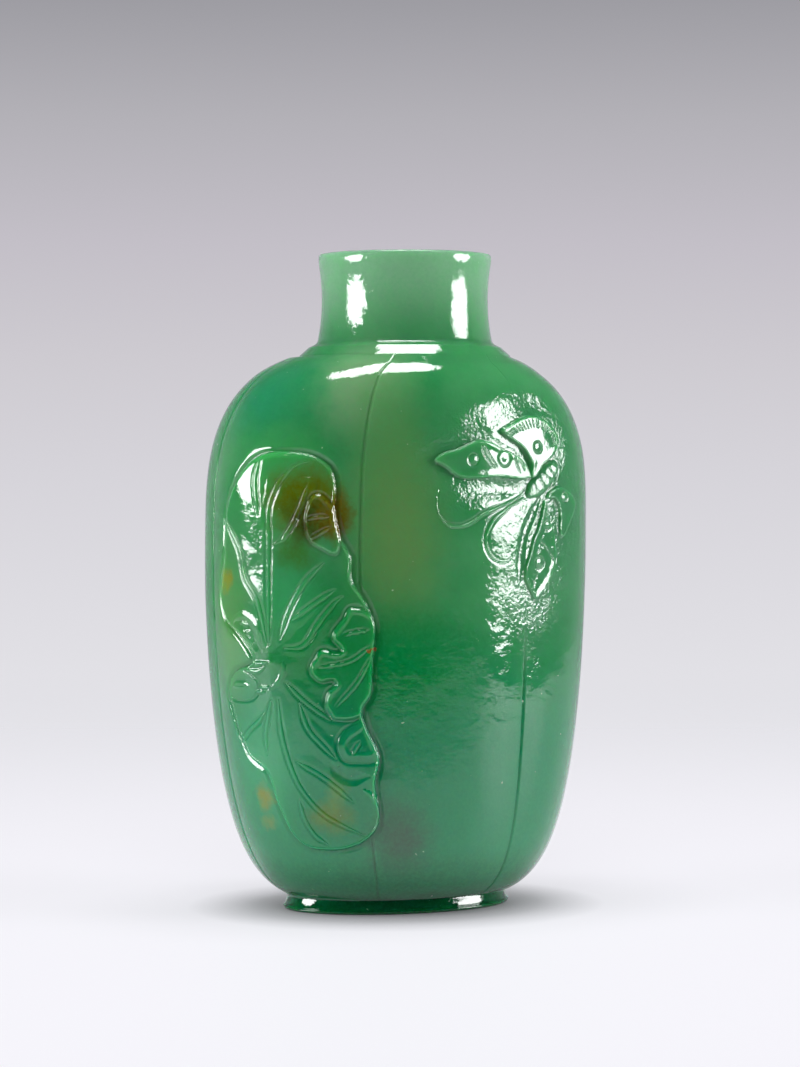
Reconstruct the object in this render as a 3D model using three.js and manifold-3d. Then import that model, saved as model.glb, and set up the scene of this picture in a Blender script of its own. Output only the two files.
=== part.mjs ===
// Snuff bottle carved from one block of green jadeite: a flattened body of six lobes on an oval foot,
// a round collar and a flared neck, hollowed through the mouth. A lotus leaf and a butterfly stand
// in low relief on the front. Millimetres, +Z up, broad front towards -Y.
// The origin is the centre of the foot's underside.
import * as THREE from "three";
import { mergeVertices } from "three/addons/utils/BufferGeometryUtils.js";
import Module from "manifold-3d";

const wasm = await Module();
wasm.setup();

// ---------------------------------------------------------------- driving sizes
const height = 58;
const bellyHeight = 34;
const halfWidth = 17.3; // across the broad front, through the grooves
const halfDepth = 12.2; // front to back, through the grooves
const lobeSwell = 0.5;
const drawnIn = 0.6; // share of the half width at which the lobes and grooves have died away
const frontLobe = 16.1; // distance round the belly of the front lobe, and of the back one
const grooveWidth = 0.8;
const grooveDepth = 0.2;

// One quarter of the body's outline, from the belly to where it would close on the axis.
const frontBelow = { reach: 33.5, bend: 2.07, square: 5.6 };
const frontAbove = { reach: 16.4, bend: 2.7, square: 3 };
const sideBelow = { reach: 33.5, bend: 12, square: 3.3 };
const sideAbove = { reach: 16.4, bend: 5.5, square: 3 };
const shoulderDrop = 0.75; // the shoulder sits this much lower front and back than at the ends
const shoulderDropFrom = 44;
const shoulderTop = 49.4;

const foot = { halfWidth: 10.75, halfDepth: 6.85, height: 1.3, waistInset: 0.35, rimInset: 0.3 };
const recess = { halfWidth: 8.6, halfDepth: 4.9, depth: 0.9 };
const collar = { radius: 9.4, top: 49.9, edge: 0.15, slopeTop: 50.35 };
const neck = { rootRadius: 7.9, root: 50.9, waistRadius: 7.42, waist: 54, lipRadius: 7.7 };
const lip = { start: 57.2, corner: 57.65, round: 0.25 };
const mouth = { radius: 3.6, edge: 0.3, depth: 9.8 };
const cavity = { wall: 3.2, floor: 4.6, top: 47.2, bend: 3, square: 3 };

// The hand-cut body leans a little to one end, and the neck a little more.
const shoulderLean = { amount: 0.35, from: 28, to: 46 };
const neckLean = { amount: 0.5, from: 47.5, to: 50 };

const reliefRoot = 0.7; // how far a carved form is let into the wall it stands on
const ridgeRoot = 0.15; // the same for a carved line

// ---------------------------------------------------------------- the body's surface
const meanRadius = (halfWidth + halfDepth) / 2;
const halfGirth = Math.PI * meanRadius;
const flattening = (halfWidth - halfDepth) / (2 * (halfWidth + halfDepth));

// Grooves, as distances round the belly from the middle of the front.
const grooves = [
  -halfGirth + frontLobe / 2,
  -halfGirth / 2,
  -frontLobe / 2,
  frontLobe / 2,
  halfGirth / 2,
  halfGirth - frontLobe / 2,
];
const butterflyGroove = 3; // this groove stops under the butterfly
const butterflyGrooveTop = 28;
const butterflyGrooveSoftness = 3;

const share = (value, from, to) => THREE.MathUtils.clamp((value - from) / (to - from), 0, 1);

// Angle of the oval section at a distance round the belly from the middle of the front.
function angleAt(around) {
  const even = around / meanRadius;
  return even - flattening * Math.sin(2 * even);
}

function quarter(full, level, below, above) {
  const curve = level < bellyHeight ? below : above;
  const part = Math.abs(level - bellyHeight) / curve.reach;
  return full * (1 - part ** curve.bend) ** (1 / curve.square);
}

const sideLevel = (level) => level - shoulderDrop * share(level, shoulderDropFrom, shoulderTop) ** 2;

const leanAt = (level) =>
  shoulderLean.amount * share(level, shoulderLean.from, shoulderLean.to) +
  neckLean.amount * share(level, neckLean.from, neckLean.to);

// How far the surface stands outside the oval: each lobe swells between two grooves.
function swellAt(around, level, across) {
  const turn = 2 * halfGirth;
  const place = around - turn * Math.floor((around - grooves[0]) / turn);
  const after = grooves.findLastIndex((groove) => groove <= place + 1e-9);
  const start = grooves[after];
  const end = after + 1 < grooves.length ? grooves[after + 1] : grooves[0] + turn;
  const nearest = place - start < end - place ? after : (after + 1) % grooves.length;
  const distance = Math.min(place - start, end - place);
  const fades = nearest === butterflyGroove && level > butterflyGrooveTop;
  const softness = fades ? butterflyGrooveSoftness : 0;
  const reach = Math.hypot(distance, softness) - softness;
  const swell = lobeSwell * Math.sin((Math.PI * reach) / (end - start));
  const cut = fades ? 0 : grooveDepth * Math.max(0, 1 - (2 * distance) / grooveWidth);
  const width = across / halfWidth;
  return swell * share(width, drawnIn, 1) - cut * share(width, drawnIn - 0.05, drawnIn + 0.05);
}

// A point on the body, or standing off it by rise.
function bodyPoint(around, level, rise = 0) {
  const angle = angleAt(around);
  const across = quarter(halfWidth, level, frontBelow, frontAbove);
  const deep = quarter(halfDepth, sideLevel(level), sideBelow, sideAbove);
  const out = new THREE.Vector2(Math.sin(angle) / across, -Math.cos(angle) / deep).normalize();
  const off = rise + swellAt(around, level, across);
  return new THREE.Vector3(
    across * Math.sin(angle) + out.x * off + leanAt(level),
    -deep * Math.cos(angle) + out.y * off,
    THREE.MathUtils.lerp(sideLevel(level), level, Math.sin(angle) ** 2),
  );
}

// ---------------------------------------------------------------- making closed solids
const middleOf = (loop) =>
  loop.reduce((sum, point) => sum.add(point), new THREE.Vector3()).divideScalar(loop.length);

// A closed skin over loops of points, each loop with the same count, with a fan over each end.
function skin(loops, firstMiddle = middleOf(loops[0]), lastMiddle = middleOf(loops.at(-1))) {
  const count = loops[0].length;
  const points = [...loops.flat(), firstMiddle, lastMiddle];
  const index = [];
  for (let row = 0; row < loops.length - 1; row++) {
    for (let i = 0; i < count; i++) {
      const a = row * count + i;
      const b = row * count + ((i + 1) % count);
      index.push(a, b, a + count, b, b + count, a + count);
    }
  }
  const last = (loops.length - 1) * count;
  for (let i = 0; i < count; i++) {
    const next = (i + 1) % count;
    index.push(points.length - 2, next, i);
    index.push(points.length - 1, last + i, last + next);
  }
  const geometry = new THREE.BufferGeometry().setFromPoints(points);
  geometry.setIndex(index);
  return geometry;
}

// The geometry as a solid, with its faces turned outwards.
function solidOf(geometry) {
  const merged = mergeVertices(geometry, 1e-4);
  const vertProperties = merged.getAttribute("position").array;
  const triVerts = new Uint32Array(merged.index.array);
  const solid = new wasm.Manifold(new wasm.Mesh({ numProp: 3, vertProperties, triVerts }));
  if (solid.volume() > 0) return solid;
  triVerts.reverse();
  return new wasm.Manifold(new wasm.Mesh({ numProp: 3, vertProperties, triVerts }));
}

// A smooth closed outline through a few points, as [across, up] from the motif's own centre.
function outlineThrough(points, count) {
  const corners = points.map(([across, up]) => new THREE.Vector3(across, up, 0));
  const curve = new THREE.CatmullRomCurve3(corners, true, "centripetal");
  return curve.getSpacedPoints(count).slice(0, count);
}

// A raised plate on the body: its outline, then rings that close on a middle point.
function plate(home, outline, middle, rings, riseAt) {
  const centre = new THREE.Vector3(middle[0], middle[1], 0);
  const onBody = (place, rise) => bodyPoint(home.around + place.x, home.level + place.y, rise);
  const loopAt = (part, rise) => outline.map((point) => onBody(centre.clone().lerp(point, part), rise));
  const loops = [loopAt(1, -reliefRoot)];
  for (let ring = rings; ring > 0; ring--) {
    loops.push(loopAt(ring / rings, riseAt(ring / rings)));
  }
  return solidOf(skin(loops, onBody(centre, -reliefRoot), onBody(centre, riseAt(0))));
}

// A raised line on the body, roof-shaped and finer at both ends. It stands on the level called base.
function ridge(home, points, { width, rise, base = 0, ends = 0.35, step = 1.8 }) {
  const curve = new THREE.CatmullRomCurve3(
    points.map(([across, up]) => new THREE.Vector3(across, up, 0)),
    false,
    "centripetal",
  );
  const steps = Math.max(3, Math.round(curve.getLength() / step));
  const loops = [];
  for (let i = 0; i <= steps; i++) {
    const along = i / steps;
    const fade = Math.min(1, ends + (1 - ends) * 4 * Math.min(along, 1 - along));
    const place = curve.getPointAt(along);
    const tangent = curve.getTangentAt(along);
    const half = (width / 2) * fade;
    const corner = (side, off) =>
      bodyPoint(
        home.around + place.x - tangent.y * side * half,
        home.level + place.y + tangent.x * side * half,
        off,
      );
    const root = base - ridgeRoot;
    loops.push([corner(-1, root), corner(0, base + rise * fade), corner(1, root)]);
  }
  return solidOf(skin(loops));
}

// ---------------------------------------------------------------- the hollow vessel
const columnShares = [0, 0.026, 0.16, 0.33, 0.5, 0.67, 0.84, 0.974];

const columns = grooves.flatMap((start, i) => {
  const end = i + 1 < grooves.length ? grooves[i + 1] : grooves[0] + 2 * halfGirth;
  return columnShares.map((part) => start + part * (end - start));
});

const ovalLoop = (across, deep, level, lean = leanAt(level)) =>
  columns.map((around) => {
    const angle = angleAt(around);
    return new THREE.Vector3(across * Math.sin(angle) + lean, -deep * Math.cos(angle), level);
  });

// Round loops belong to the collar, the neck and its bore, which share one upright axis.
const roundLoop = (radius, level) => ovalLoop(radius, radius, level, leanAt(height));

const bodyLoop = (level) => columns.map((around) => bodyPoint(around, level));

// Levels from one height to another, closer together towards the far end.
function levelsTowards(from, to, count, reach) {
  const last = Math.asin(Math.min(1, Math.abs(to - from) / reach));
  return Array.from(
    { length: count },
    (_, i) => from + Math.sign(to - from) * reach * Math.sin((last * (i + 1)) / count),
  );
}

function cavityLoop(level) {
  const reach = level < bellyHeight ? bellyHeight - cavity.floor : cavity.top - bellyHeight;
  const curve = { reach, bend: cavity.bend, square: cavity.square };
  return ovalLoop(
    quarter(halfWidth - cavity.wall, level, curve, curve),
    quarter(halfDepth - cavity.wall, level, curve, curve),
    level,
  );
}

// The neck's radius: narrowest at its waist, flaring to the root and to the lip.
function neckRadius(level) {
  const end = level < neck.waist ? neck.root : lip.corner;
  const endRadius = level < neck.waist ? neck.rootRadius : neck.lipRadius;
  const flare = ((level - neck.waist) / (end - neck.waist)) ** 2;
  return neck.waistRadius + (endRadius - neck.waistRadius) * flare;
}

const neckLoop = (level) => roundLoop(neckRadius(level), level);

function vessel() {
  const footLoop = (inset, level) => ovalLoop(foot.halfWidth - inset, foot.halfDepth - inset, level);
  const recessLoop = (inset, level) => ovalLoop(recess.halfWidth - inset, recess.halfDepth - inset, level);
  const below = levelsTowards(bellyHeight, foot.height + 0.35, 10, frontBelow.reach).reverse();
  const above = levelsTowards(bellyHeight, shoulderTop - 0.35, 8, frontAbove.reach);
  const cavityBelow = levelsTowards(bellyHeight, cavity.floor + 0.2, 4, bellyHeight - cavity.floor);
  const cavityAbove = levelsTowards(bellyHeight, cavity.top - 0.35, 3, cavity.top - bellyHeight);
  return skin([
    recessLoop(foot.rimInset, recess.depth),
    recessLoop(0, 0),
    footLoop(foot.rimInset, 0),
    footLoop(0, foot.rimInset),
    footLoop(foot.waistInset, foot.height),
    ...below.map(bodyLoop),
    bodyLoop(bellyHeight),
    ...above.map(bodyLoop),
    columns.map((around) => {
      const edge = bodyPoint(around, shoulderTop);
      return new THREE.Vector3(
        collar.radius * Math.sin(angleAt(around)) + leanAt(height),
        -collar.radius * Math.cos(angleAt(around)),
        edge.z,
      );
    }),
    roundLoop(collar.radius - collar.edge, collar.top),
    roundLoop((collar.radius + neck.rootRadius) / 2, collar.slopeTop),
    neckLoop(neck.root),
    neckLoop((neck.root + neck.waist) / 2),
    neckLoop(neck.waist),
    neckLoop((neck.waist + lip.start) / 2),
    neckLoop(lip.start),
    neckLoop(lip.corner),
    roundLoop(neck.lipRadius - lip.round, height),
    roundLoop(mouth.radius + mouth.edge, height),
    roundLoop(mouth.radius, height - mouth.edge),
    roundLoop(mouth.radius, height - mouth.depth),
    ...cavityAbove.reverse().map(cavityLoop),
    cavityLoop(bellyHeight),
    ...cavityBelow.map(cavityLoop),
  ]);
}

// ---------------------------------------------------------------- lotus leaf
const leafHome = { around: -15, level: 22.2 }; // where the stalk meets the blade
const leafRise = 0.5;
const veinRise = 0.2;

// The margin as [bearing in degrees clockwise from up, reach]: short reaches are notches.
const leafMargin = [
  [-6, 18.0], [6, 18.2], [14, 17.5], [18, 15.8], [20, 14.2], [26, 12.2], [34, 11.1], [41, 9.6],
  [53, 9.2], [68, 8.8], [90, 7.9], [108, 8.1], [119, 7.9], [127, 9.0], [134, 11.4], [143, 12.8],
  [150, 15.6], [158, 16.4], [169, 16.3], [180, 15.4], [187, 12.0], [192, 9.6], [206, 8.8],
  [231, 6.9], [247, 6.2], [260, 4.6], [271, 2.5], [284, 2.5], [301, 4.4], [308, 7.1], [318, 8.8],
  [330, 11.0], [338, 14.0], [346, 16.4],
];

const leafVeins = [
  [[-0.6, 1.7], [-0.5, 10.7], [-0.3, 14.2], [1, 16.6], [2.7, 17.4]],
  [[-1.4, 12.8], [-1.8, 15.8], [-1.5, 17.7]],
  [[-0.2, 10.2], [1.6, 12.4], [2.6, 15.3]],
  [[0.3, 2.1], [1.3, 5], [4, 8.7]],
  [[1.4, 3.8], [3.5, 5.4], [4.9, 6.4]],
  [[0.7, 1.4], [2.8, 2.4], [5.3, 5.7]],
  [[-0.8, 1.7], [-1.9, 5.9], [-3.4, 9.8], [-5.3, 12.7]],
  [[-4.5, -6.9], [-3, -5.4], [-1.5, -4.2]],
  [[-0.7, -3], [-1.5, -5.6], [-1.6, -7.8]],
  [[-0.1, -3], [0.2, -7.4], [2.3, -12.3], [6.2, -14.6]],
  [[0.8, -11.6], [1.3, -14], [2.8, -15.5]],
  [[1, -8.3], [3.2, -9.6], [5.6, -11.7]],
  [[1.7, -3.4], [2.5, -5.9], [4.4, -8]],
  [[0.7, -1.6], [2.3, -3.3], [4.3, -4.8]],
];

// Parts of the blade that turn over and lie on it: outline, and the point its faces close on.
const leafFolds = [
  {
    middle: [5.6, 0],
    outline: [
      [6.2, 4.9], [4.6, 2.4], [5.1, 1.1], [3.6, 1.2], [2.7, -0.3], [3.6, -1.5], [4.7, -1.5],
      [3.8, -3.2], [4.4, -4.5], [6.5, -4.4], [7.3, -2], [7.6, 1.2], [7.1, 4.2],
    ],
  },
  {
    middle: [3.9, 12],
    outline: [[3.5, 14.6], [2.4, 12.4], [2.9, 10.5], [4.9, 9.7], [5, 11.2], [4.4, 13.4]],
  },
  {
    middle: [-3.8, -2.3],
    outline: [[-5.1, -1.5], [-3.6, -0.6], [-2.1, -1.4], [-2.2, -3.1], [-3.6, -4], [-5.4, -3.2]],
  },
  {
    middle: [-3, 2.9],
    outline: [[-1.9, 1.8], [-2.4, 4.1], [-3.6, 4.3], [-4.2, 3.2], [-3.4, 2.1]],
  },
  {
    middle: [6.3, -9.5],
    outline: [[5.2, -5.2], [4.3, -7.6], [5.2, -9.8], [6, -11.4], [7.6, -10.4], [7.6, -8], [6.7, -6]],
  },
];

function leaf() {
  const margin = leafMargin.map(([bearing, reach]) => {
    const angle = THREE.MathUtils.degToRad(bearing);
    return [reach * Math.sin(angle), reach * Math.cos(angle)];
  });
  const outline = outlineThrough(margin, 66);
  // Full just inside the rim, a little dished towards the stalk.
  const blade = plate(leafHome, outline, [0, 0], 4, (part) =>
    part === 1 ? leafRise * 0.75 : leafRise * (0.6 + 0.45 * part),
  );
  const veins = leafVeins.map((vein) =>
    ridge(leafHome, vein, { width: 0.7, rise: veinRise, base: leafRise * 0.85 }),
  );
  const folds = leafFolds.map(({ middle, outline: edge }) =>
    plate(leafHome, outlineThrough(edge, edge.length * 2), middle, 2, (part) =>
      part === 1 ? leafRise + 0.1 : leafRise + 0.3,
    ),
  );
  return [blade, ...veins, ...folds];
}

// ---------------------------------------------------------------- butterfly
const butterflyHome = { around: 9, level: 37.2 }; // between the roots of the wings
const wingRise = 0.3;

const wings = [
  { // the upper forewing, pointed
    middle: [-4.2, 2.4],
    outline: [
      [-10.7, 2.6], [-6.5, 4.2], [-3.9, 3.6], [-1.8, 2.7], [-0.8, 0.9], [-4.4, 0.9], [-8.4, 1.1],
    ],
  },
  { // the upper hindwing, round
    middle: [0.2, 3.9],
    outline: [[-3.6, 4.9], [-1.4, 6.1], [1.6, 6.1], [3.2, 4.5], [2.2, 2.8], [-0.4, 1.2], [-1, 2.9]],
  },
  { // the lower forewing, pointed
    middle: [0.9, -5.6],
    outline: [
      [1, -0.9], [-0.3, -4.4], [-1.3, -7.4], [0.1, -9.7], [1.8, -8.1], [2.5, -5.7], [1.8, -3],
    ],
  },
  { // the lower hindwing, round
    middle: [3.6, -1.6],
    outline: [[1.4, -0.8], [2.7, -1.8], [2.9, -4.1], [4.2, -3.5], [5.1, -1.4], [4.1, -0.1], [2.7, 0.2]],
  },
];

const feelers = [
  [[-0.7, 0.1], [-4.4, -1.7], [-8.2, -3.3], [-10.2, -2.4], [-10.4, -0.1]],
  [[-0.1, -0.7], [-3.8, -2.1], [-5.7, -4.4], [-4.5, -6.2], [-2.5, -5.8]],
];

const trunk = [[-0.7, -0.2], [1.4, 0.9], [3.7, 2.6]];

function butterfly() {
  const wingPlates = wings.map(({ middle, outline }) =>
    plate(butterflyHome, outlineThrough(outline, outline.length * 3), middle, 2, (part) =>
      part === 1 ? wingRise * 0.7 : wingRise,
    ),
  );
  const feelerLines = feelers.map((feeler) =>
    ridge(butterflyHome, feeler, { width: 0.6, rise: wingRise * 0.8, step: 1 }),
  );
  return [...wingPlates, ...feelerLines, ridge(butterflyHome, trunk, { width: 1.7, rise: wingRise * 2 })];
}

// ---------------------------------------------------------------- the finished bottle
const carved = [...leaf(), ...butterfly()].reduce(
  (whole, form) => whole.add(form),
  solidOf(vessel()),
);

const mesh = carved.getMesh();
const geometry = new THREE.BufferGeometry();
geometry.setAttribute("position", new THREE.BufferAttribute(mesh.vertProperties, 3));
geometry.setIndex(new THREE.BufferAttribute(mesh.triVerts, 1));
geometry.computeVertexNormals();

const jadeite = new THREE.MeshStandardMaterial({ color: 0x4a9a68, roughness: 0.12, metalness: 0 });

const bottle = new THREE.Mesh(geometry, jadeite);
bottle.name = "bottle";

const snuffBottle = new THREE.Group();
snuffBottle.add(bottle);

export default snuffBottle;
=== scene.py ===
# Carved jadeite snuff bottle: a flattened body of six lobes on an oval foot, with a lotus leaf and
# a butterfly in low relief. Sizes are in millimetres until a mesh is finished, and then in metres.
import math
import bmesh
import bpy
import numpy as np
from mathutils import Matrix, Vector
from mathutils.geometry import interpolate_bezier


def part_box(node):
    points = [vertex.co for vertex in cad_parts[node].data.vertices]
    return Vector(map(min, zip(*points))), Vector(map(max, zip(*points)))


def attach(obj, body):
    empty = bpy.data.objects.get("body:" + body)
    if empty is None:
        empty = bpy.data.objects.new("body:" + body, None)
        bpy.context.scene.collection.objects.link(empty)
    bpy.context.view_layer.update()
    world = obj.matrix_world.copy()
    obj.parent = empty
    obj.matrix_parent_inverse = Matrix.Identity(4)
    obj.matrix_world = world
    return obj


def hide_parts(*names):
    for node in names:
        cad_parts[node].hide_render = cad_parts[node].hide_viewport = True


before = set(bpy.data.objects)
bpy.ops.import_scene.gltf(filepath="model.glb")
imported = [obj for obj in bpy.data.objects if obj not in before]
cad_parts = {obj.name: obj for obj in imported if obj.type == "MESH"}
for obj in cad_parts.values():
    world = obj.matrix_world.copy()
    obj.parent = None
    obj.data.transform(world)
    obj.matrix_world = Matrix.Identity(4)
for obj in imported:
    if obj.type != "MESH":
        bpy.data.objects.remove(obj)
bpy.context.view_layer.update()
mm = 0.001
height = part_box("bottle")[1].z / mm
print("frame loaded, the bottle stands", round(height, 2), "mm tall")


# How the camera stands, ahead of the rest, since the studio is laid out from its side.
view = {
    "azimuth": -22,
    "distance": 278.1,
    "height": 38.4,
    "aimHeight": 33.16,
    "aimAcross": 0.3,
    "lens": 105,
}


def addObject(name, data):
    made = bpy.data.objects.new(name, data)
    bpy.context.collection.objects.link(made)
    return made


def makeCamera():
    turn = math.radians(view["azimuth"])
    back = Vector((math.sin(turn), -math.cos(turn), 0))
    across = Vector((math.cos(turn), math.sin(turn), 0))
    place = back * view["distance"] + Vector((0, 0, view["height"]))
    aim = across * view["aimAcross"] + Vector((0, 0, view["aimHeight"]))
    camera = addObject("camera", bpy.data.cameras.new("camera"))
    camera.data.lens = view["lens"]
    camera.data.clip_start = 0.01
    camera.location = place * mm
    camera.rotation_euler = (aim - place).to_track_quat("-Z", "Y").to_euler()
    bpy.context.scene.camera = camera


makeCamera()


# The body's surface: a place round the belly and a level above the table give a point on it.
body = {
    "bellyHeight": 34,
    "halfWidth": 17.3,  # through the grooves
    "halfDepth": 12.19,
    "lobeSwell": 0.5,
    "frontLobe": 16.1,
    "grooveWidth": 0.5,
    "grooveDepth": 0.12,
    "drawnIn": 0.6,  # share of the half width at which lobes and grooves have died away
    "drawnInFade": 0.05,
    "frontBelow": (33.5, 2.07, 5.6),  # reach, bend and squareness of each quarter outline
    "frontAbove": (16.1, 2.8, 3),
    "sideBelow": (33.5, 12, 3.3),
    "sideAbove": (16.4, 5.5, 3),
    "shoulderDrop": 0.75,
    "shoulderDropFrom": 44,
    "shoulderTop": 48.95,
    "shoulderLean": (0.28, 28, 46),  # amount, from level, to level
    "neckLean": (0.5, 47.5, 50),
    "coverSoftness": 3,  # how broadly a groove is smoothed away under the carving
}
foot = {
    "halfWidth": 10.5, "halfDepth": 6.85, "height": 1.3, "waistInset": 0.35, "waistBend": 0.7,
    "edge": 0.3,
    "rim": 0.2,  # flat left beside the rounded edge
    "join": 0.3,  # from the foot's top up to the lowest row of the body
}
recess = {"halfWidth": 8.4, "halfDepth": 4.9, "depth": 0.9, "corner": 0.15}
collar = {
    "radius": 9.4, "start": 48.9, "crease": 49.02, "chamferTop": 49.72, "chamferRadius": 8.62,
    "crispness": 0.02,  # how close two rings hold an edge
    "hollowRise": (0.13, 0.28, 0.43),  # the curve from the chamfer in to the neck
    "hollowInset": (0.27, 0.57),
}
neck = {
    "rootRadius": 7.78, "root": 50.35, "rootSpread": 0.1, "waistRadius": 7.42, "waist": 54,
    "lipRadius": 7.7, "rows": 16,
    "uneven": 0.12,  # how far its polish is from even
}
lip = {"start": 57.3, "corner": 57.85, "round": 0.15, "swell": 0.012, "swellRise": 0.2, "flat": 0.15}
mouth = {"radius": 3.6, "edge": 0.3, "edgeRound": 0.3, "depth": 9.8}
cavity = {
    "wall": 3.2, "floor": 4.6, "top": 47.2, "bend": 3, "square": 3, "rowsAbove": 6, "rowsBelow": 9,
    "short": (0.35, 0.2),  # how far its last rows stay from the top and from the floor
}

meanRadius = (body["halfWidth"] + body["halfDepth"]) / 2
halfGirth = math.pi * meanRadius
flattening = (body["halfWidth"] - body["halfDepth"]) / (4 * meanRadius)
halfLobe = body["frontLobe"] / 2
grooves = np.array([
    -halfGirth + halfLobe, -halfGirth / 2, -halfLobe, halfLobe, halfGirth / 2, halfGirth - halfLobe,
])


def share(value, low, high):
    return np.clip((value - low) / (high - low), 0, 1)


def smoothShare(value, low, high):
    part = share(value, low, high)
    return part * part * (3 - 2 * part)


def angleAt(around):
    even = around / meanRadius
    return even - flattening * np.sin(2 * even)


def quarter(full, level, below, above):
    low = level < body["bellyHeight"]
    reach, bend, square = (np.where(low, down, up) for down, up in zip(below, above))
    part = np.minimum(np.abs(level - body["bellyHeight"]) / reach, 0.9999)  # never quite closed
    return full * (1 - part ** bend) ** (1 / square)


def leanAt(level):
    amount, start, end = body["shoulderLean"]
    neckAmount, neckStart, neckEnd = body["neckLean"]
    return amount * share(level, start, end) + neckAmount * share(level, neckStart, neckEnd)


def swellAt(around, across, cover):
    # each lobe swells out between two grooves, and each groove is a fine V-cut
    turn = 2 * halfGirth
    nudge = 1e-6  # just past the first groove
    place = grooves[0] + (around - grooves[0] + nudge) % turn
    after = np.searchsorted(grooves, place, side="right") - 1
    ends = np.append(grooves, grooves[0] + turn)
    start, end = ends[after], ends[after + 1]
    distance = np.minimum(place - start, end - place)
    soft = body["coverSoftness"] * cover
    swell = body["lobeSwell"] * np.sin(np.pi * (np.hypot(distance, soft) - soft) / (end - start))
    cut = body["grooveDepth"] * np.maximum(0, 1 - 2 * distance / body["grooveWidth"]) * (1 - cover)
    width = across / body["halfWidth"]
    fade = body["drawnInFade"]
    kept = share(width, body["drawnIn"] - fade, body["drawnIn"] + fade)
    return swell * share(width, body["drawnIn"], 1) - cut * kept


def bodyPoints(around, level, rise, cover):
    angle = angleAt(around)
    drop = body["shoulderDrop"] * share(level, body["shoulderDropFrom"], body["shoulderTop"]) ** 2
    across = quarter(body["halfWidth"], level, body["frontBelow"], body["frontAbove"])
    deep = quarter(body["halfDepth"], level - drop, body["sideBelow"], body["sideAbove"])
    outX, outY = np.sin(angle) / across, -np.cos(angle) / deep
    length = np.hypot(outX, outY)
    off = rise + swellAt(around, across, cover)
    return np.stack([
        across * np.sin(angle) + outX / length * off + leanAt(level),
        -deep * np.cos(angle) + outY / length * off,
        level - drop * np.cos(angle) ** 2,
    ], axis=-1)


def ovalPoints(around, across, deep, level, lean):
    angle = angleAt(around)
    level = level + 0 * angle
    return np.stack([across * np.sin(angle) + lean, -deep * np.cos(angle), level], axis=-1)


def turnedPoints(around, radius, level):
    # the collar, the neck and its bore share one upright axis
    return ovalPoints(around, radius, radius, level, leanAt(height))


def neckRadius(level):
    end = np.where(level < neck["waist"], neck["root"], lip["start"])
    endRadius = np.where(level < neck["waist"], neck["rootRadius"], neck["lipRadius"])
    flare = ((level - neck["waist"]) / (end - neck["waist"])) ** 2
    return neck["waistRadius"] + (endRadius - neck["waistRadius"]) * flare


# The outline above the shoulder, as levels and radii from the collar's foot to the lip.
def turnedOutline():
    top, radius, crisp = collar["chamferTop"], collar["chamferRadius"], collar["crispness"]
    levels = [collar["start"], collar["crease"], top - crisp, top]
    radii = [collar["radius"] + crisp, collar["radius"], radius + crisp, radius]
    levels += [top + rise for rise in collar["hollowRise"]]
    radii += [radius - inset for inset in collar["hollowInset"]]
    radii.append(neck["rootRadius"] + neck["rootSpread"])
    neckLevels = np.linspace(neck["root"], lip["start"], neck["rows"])
    levels += list(neckLevels) + [lip["start"] + lip["swellRise"], lip["corner"]]
    radii += list(neckRadius(neckLevels)) + [neck["lipRadius"] + lip["swell"], neck["lipRadius"]]
    for turn in np.radians([30, 60, 90]):
        levels.append(lip["corner"] + (height - lip["corner"]) * math.sin(turn))
        radii.append(neck["lipRadius"] - lip["round"] * (1 - math.cos(turn)))
    return levels, radii


def footInset(level):
    # a rounded lower edge, then a slightly hollow wall up to the waist
    corner = foot["edge"] * (1 - np.sqrt(np.clip(1 - (1 - level / foot["edge"]) ** 2, 0, 1)))
    hollow = foot["waistInset"] * share(level, foot["edge"], foot["height"]) ** foot["waistBend"]
    return np.where(level < foot["edge"], corner, hollow)


# Lines and plates drawn on the body, and the height that each gives the surface.
def smoothLine(points, closed=False, cuts=7):
    spots = [Vector(point) for point in points]
    count = len(spots)

    def heading(i):
        before = spots[i - 1] if closed or i > 0 else spots[0]
        after = spots[(i + 1) % count] if closed or i < count - 1 else spots[-1]
        return (after - before).normalized()

    line = []
    for i in range(count if closed else count - 1):
        start, end = spots[i], spots[(i + 1) % count]
        pull = (end - start).length / 3
        line += interpolate_bezier(
            start, start + heading(i) * pull, end - heading((i + 1) % count) * pull, end, cuts
        )[:-1]
    if not closed:
        line.append(spots[-1])
    return np.array([tuple(spot) for spot in line])


def measure(places, line, closed=False):
    # distance to the line, and the share of the way along it
    starts = line if closed else line[:-1]
    steps = np.roll(line, -1, axis=0)[: len(starts)] - starts
    lengths = np.hypot(steps[:, 0], steps[:, 1])
    gaps = places[:, None] - starts[None]
    parts = np.clip((gaps * steps).sum(-1) / (lengths ** 2), 0, 1)
    offs = gaps - parts[..., None] * steps
    distances = np.hypot(offs[..., 0], offs[..., 1])
    best = distances.argmin(1)
    rows = np.arange(len(places))
    before = (np.cumsum(lengths) - lengths)[best]
    along = (before + parts[rows, best] * lengths[best]) / lengths.sum()
    return distances[rows, best], along


def nearIndex(places, line, reach):
    low, high = line.min(0) - reach, line.max(0) + reach
    return np.nonzero(((places > low) & (places < high)).all(1))[0]


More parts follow.
